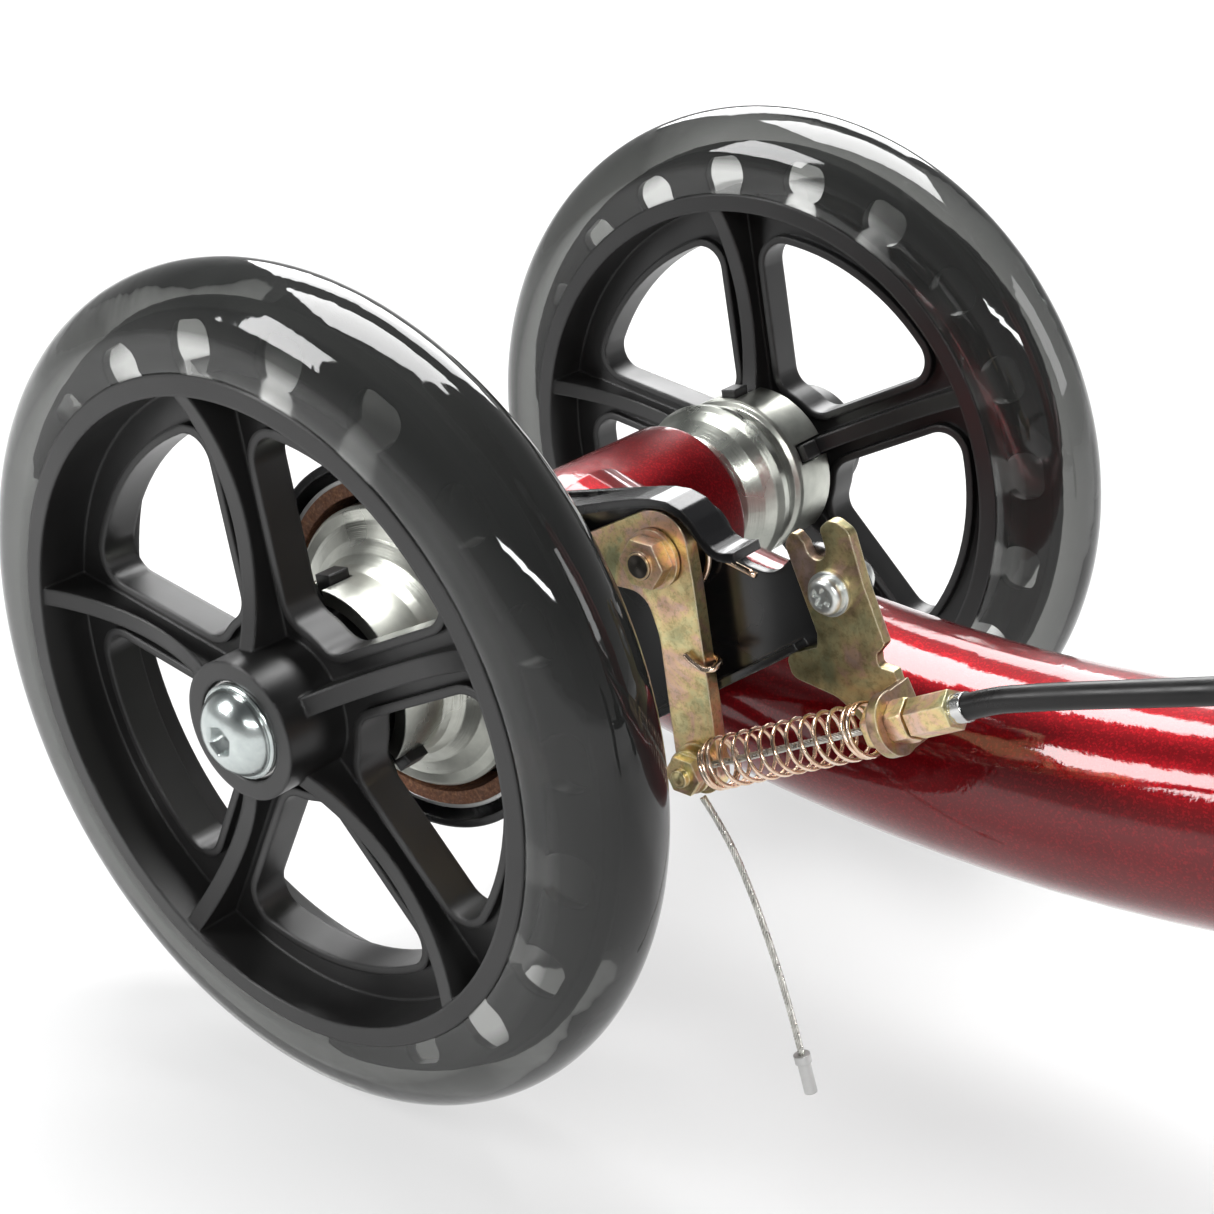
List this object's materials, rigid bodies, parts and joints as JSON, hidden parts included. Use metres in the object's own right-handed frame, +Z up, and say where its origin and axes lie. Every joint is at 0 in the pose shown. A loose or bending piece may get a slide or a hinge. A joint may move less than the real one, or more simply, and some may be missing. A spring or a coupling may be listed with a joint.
{
  "type": "knee scooter",
  "caption": "Steerable knee scooter with a band brake on one rear wheel, a height-adjustable padded knee rest and a folding handlebar column.",
  "frame": {"origin": "on the ground, midway between the rear and the front axle and midway across", "axes": "+X forward, +Y to the rider's left, +Z up"},
  "size_m": [0.78, 0.438, 0.871],
  "materials": {
    "candy": "gloss",
    "black_steel": "gloss",
    "black_nylon": "satin",
    "smoke": "gloss",
    "steel": "satin",
    "zinc": "satin",
    "gold_zinc": "satin",
    "spring": "satin",
    "lining": "matte",
    "casing": "satin",
    "wire": "satin",
    "pad": "satin",
    "grip": "matte"
  },
  "bodies": {
    "frame": {"main_tube": "candy", "rear_axle_tube": "candy", "head_tube": "candy", "headset_cups": "steel", "knee_post_socket": "candy", "rear_axle": "steel", "rear_axle_bolts": "zinc", "brake_housing": "black_steel", "brake_band": "black_steel", "brake_lining": "lining", "lever_pivot_bolt": "gold_zinc", "arm_spring": "spring", "cable_stop_bracket": "gold_zinc", "bracket_screw": "steel", "adjuster_nuts": "gold_zinc", "barrel_adjuster": "gold_zinc", "casing_frame": "casing", "cable_clips": "black_nylon", "knee_clamp_bolt": "steel"},
    "rear_wheel_right": {"tyre_rear_right": "smoke", "rim_rear_right": "black_nylon", "bearings_rear_right": "steel", "brake_drum": "zinc"},
    "rear_wheel_left": {"tyre_rear_left": "smoke", "rim_rear_left": "black_nylon", "bearings_rear_left": "steel", "wheel_hub_left": "zinc"},
    "brake_crank": {"brake_arm": "gold_zinc", "cable_clamp_bolt": "gold_zinc", "cable_tail": "wire", "cable_end_cap": "zinc", "inner_cable_run": "wire", "return_spring": "spring"},
    "steering": {"steering_fork": "black_steel", "front_axle": "steel", "front_axle_bolts": "zinc", "fold_knuckle": "black_steel", "casing_steer_loop": "casing"},
    "front_wheel_right": {"tyre_front_right": "smoke", "rim_front_right": "black_nylon", "bearings_front_right": "steel"},
    "front_wheel_left": {"tyre_front_left": "smoke", "rim_front_left": "black_nylon", "bearings_front_left": "steel"},
    "fold_latch": {"fold_latch": "black_nylon"},
    "column": {"column": "candy", "stem_clamp_bolt": "steel", "casing_fold_loop": "casing"},
    "stem_lever": {"stem_clamp_lever": "zinc"},
    "handlebar": {"handlebar": "steel", "grips": "grip", "brake_perch": "black_nylon", "casing_bar_loop": "casing"},
    "brake_lever": {"hand_brake_lever": "black_nylon"},
    "knee_rest": {"knee_post": "steel", "knee_deck": "black_steel", "knee_pad_left": "pad", "knee_pad_right": "pad"},
    "knee_lever": {"knee_clamp_lever": "zinc"}
  },
  "joints": [
    {"name": "rear_wheel_right_spin", "type": "hinge", "parent": "frame", "child": "rear_wheel_right", "pos_m": [-0.29, -0.0937, 0.1], "axis": [0, 1, 0], "continuous": true},
    {"name": "rear_wheel_left_spin", "type": "hinge", "parent": "frame", "child": "rear_wheel_left", "pos_m": [-0.29, 0.0937, 0.1], "axis": [0, 1, 0], "continuous": true},
    {"name": "brake_crank_pivot", "type": "hinge", "parent": "frame", "child": "brake_crank", "pos_m": [-0.2195, -0.0522, 0.1383], "axis": [0, -1, 0], "range_deg": [0, 8], "stiffness_Nm_per_rad": 0.6, "springref_deg": -5.73, "deforming": ["return_spring", "inner_cable_run", "brake_band"]},
    {"name": "steering_turn", "type": "hinge", "parent": "frame", "child": "steering", "pos_m": [0.275, 0, 0.1], "axis": [-0.2079, 0, 0.9781], "range_deg": [-35, 35], "deforming": ["casing_steer_loop"]},
    {"name": "front_wheel_right_spin", "type": "hinge", "parent": "steering", "child": "front_wheel_right", "pos_m": [0.29, -0.125, 0.1], "axis": [0, 1, 0], "continuous": true},
    {"name": "front_wheel_left_spin", "type": "hinge", "parent": "steering", "child": "front_wheel_left", "pos_m": [0.29, 0.125, 0.1], "axis": [0, 1, 0], "continuous": true},
    {"name": "fold_hinge", "type": "hinge", "parent": "steering", "child": "column", "pos_m": [0.15625, 0, 0.51437], "axis": [0, -1, 0], "range_deg": [0, 76], "deforming": ["casing_fold_loop"]},
    {"name": "fold_latch_hinge", "type": "hinge", "parent": "steering", "child": "fold_latch", "pos_m": [0.21904, 0, 0.51238], "axis": [0, 1, 0], "range_deg": [0, 60]},
    {"name": "handlebar_height", "type": "slide", "parent": "column", "child": "handlebar", "axis": [-0.2079, 0, 0.9781], "range_m": [-0.045, 0.07], "deforming": ["casing_bar_loop"]},
    {"name": "stem_lever_swing", "type": "hinge", "parent": "column", "child": "stem_lever", "pos_m": [0.17049, 0.022, 0.71675], "axis": [-0.2079, 0, 0.9781], "range_deg": [-90, 0]},
    {"name": "brake_lever_pull", "type": "hinge", "parent": "handlebar", "child": "brake_lever", "pos_m": [0.14816, -0.077, 0.86024], "axis": [0.2079, 0, -0.9781], "range_deg": [0, 16], "stiffness_Nm_per_rad": 1.2, "springref_deg": -5.73},
    {"name": "knee_rest_height", "type": "slide", "parent": "frame", "child": "knee_rest", "axis": [0, 0, 1], "range_m": [0, 0.07]},
    {"name": "knee_lever_swing", "type": "hinge", "parent": "frame", "child": "knee_lever", "pos_m": [-0.009, 0.022, 0.295], "axis": [0, 0, 1], "range_deg": [-90, 0]}
  ],
  "couplings": [
    {"joint": "brake_crank_pivot", "follows": "brake_lever_pull", "ratio": 0.5}
  ]
}
